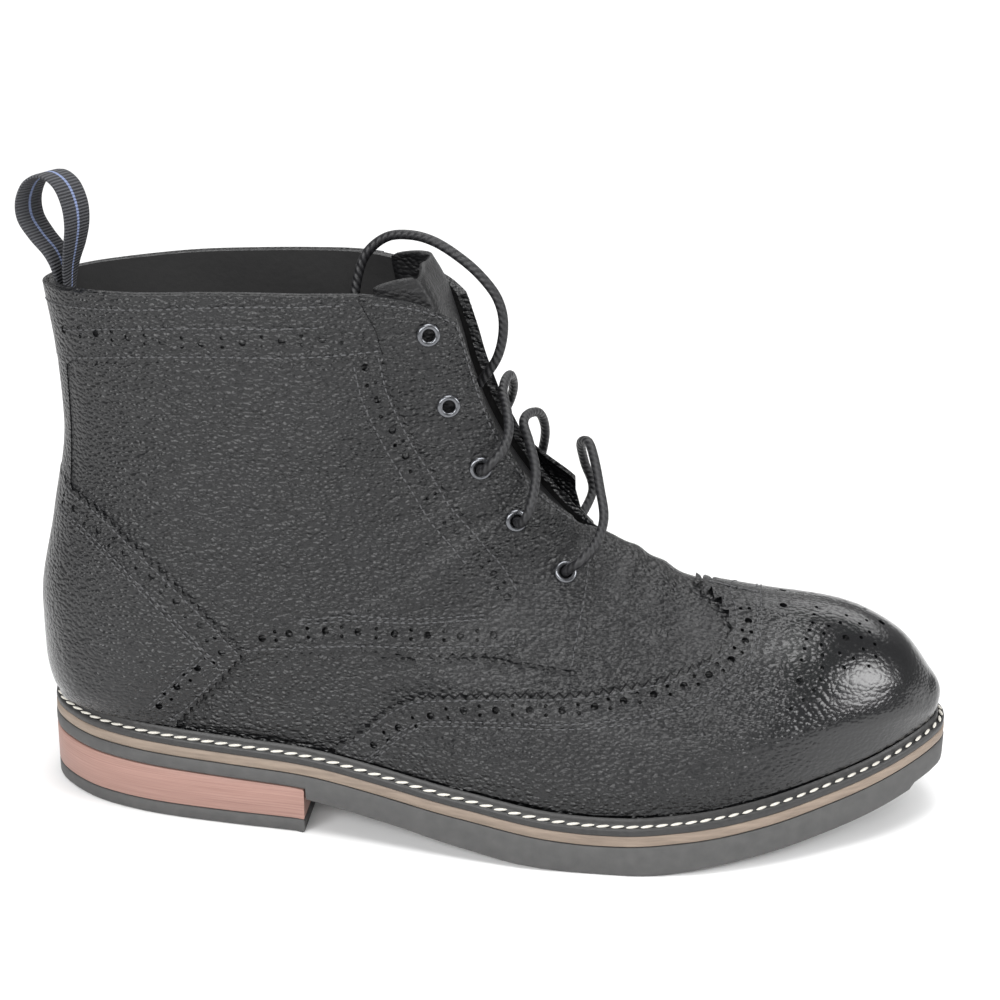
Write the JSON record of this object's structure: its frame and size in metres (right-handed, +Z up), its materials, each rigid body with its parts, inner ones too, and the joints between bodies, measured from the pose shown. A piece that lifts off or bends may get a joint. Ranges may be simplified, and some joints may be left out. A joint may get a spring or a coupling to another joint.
{
  "type": "brogue boot",
  "caption": "Black leather lace-up ankle boot with wing-shaped perforated toe cap, heel counter and collar band, webbing pull loop, stacked heel and rubber outsole, right foot.",
  "frame": {"origin": "on the ground, under the middle of the boot's bounding box, the free end of the lace left out", "axes": "+X from heel to toe, +Y to the medial side, +Z up"},
  "size_m": [0.317, 0.1108, 0.216],
  "materials": {
    "black_leather": "pebbled, softly glossy black",
    "tongue_leather": "soft black",
    "rubber_sole": "matt dark grey",
    "stacked_heel": "reddish brown, layered",
    "tan_midsole": "tan edge",
    "welt": "black, white stitches",
    "insole": "dark lining",
    "eyelet_metal": "dark gunmetal",
    "lace": "waxed round cord",
    "webbing": "ribbed grosgrain with a pale blue stripe"
  },
  "bodies": {
    "root": {"backstay": "black_leather", "collar_band": "black_leather", "eyelet_lateral_1": "eyelet_metal", "eyelet_lateral_2": "eyelet_metal", "eyelet_lateral_3": "eyelet_metal", "eyelet_lateral_4": "eyelet_metal", "eyelet_lateral_5": "eyelet_metal", "eyelet_medial_1": "eyelet_metal", "eyelet_medial_2": "eyelet_metal", "eyelet_medial_3": "eyelet_metal", "eyelet_medial_4": "eyelet_metal", "eyelet_medial_5": "eyelet_metal", "facing_lateral": "black_leather", "facing_medial": "black_leather", "heel_counter": "black_leather", "heel_stack": "stacked_heel", "heel_top_lift": "rubber_sole", "insole": "insole", "lace_bar_3": "lace", "lace_bar_4": "lace", "lace_bar_5": "lace", "lace_end": "lace", "midsole": "tan_midsole", "outsole": "rubber_sole", "pull_loop": "webbing", "quarter_lateral": "black_leather", "quarter_medial": "black_leather", "tongue": "tongue_leather", "upper": "black_leather", "welt": "welt", "wing_cap": "black_leather"}
  },
  "joints": []
}
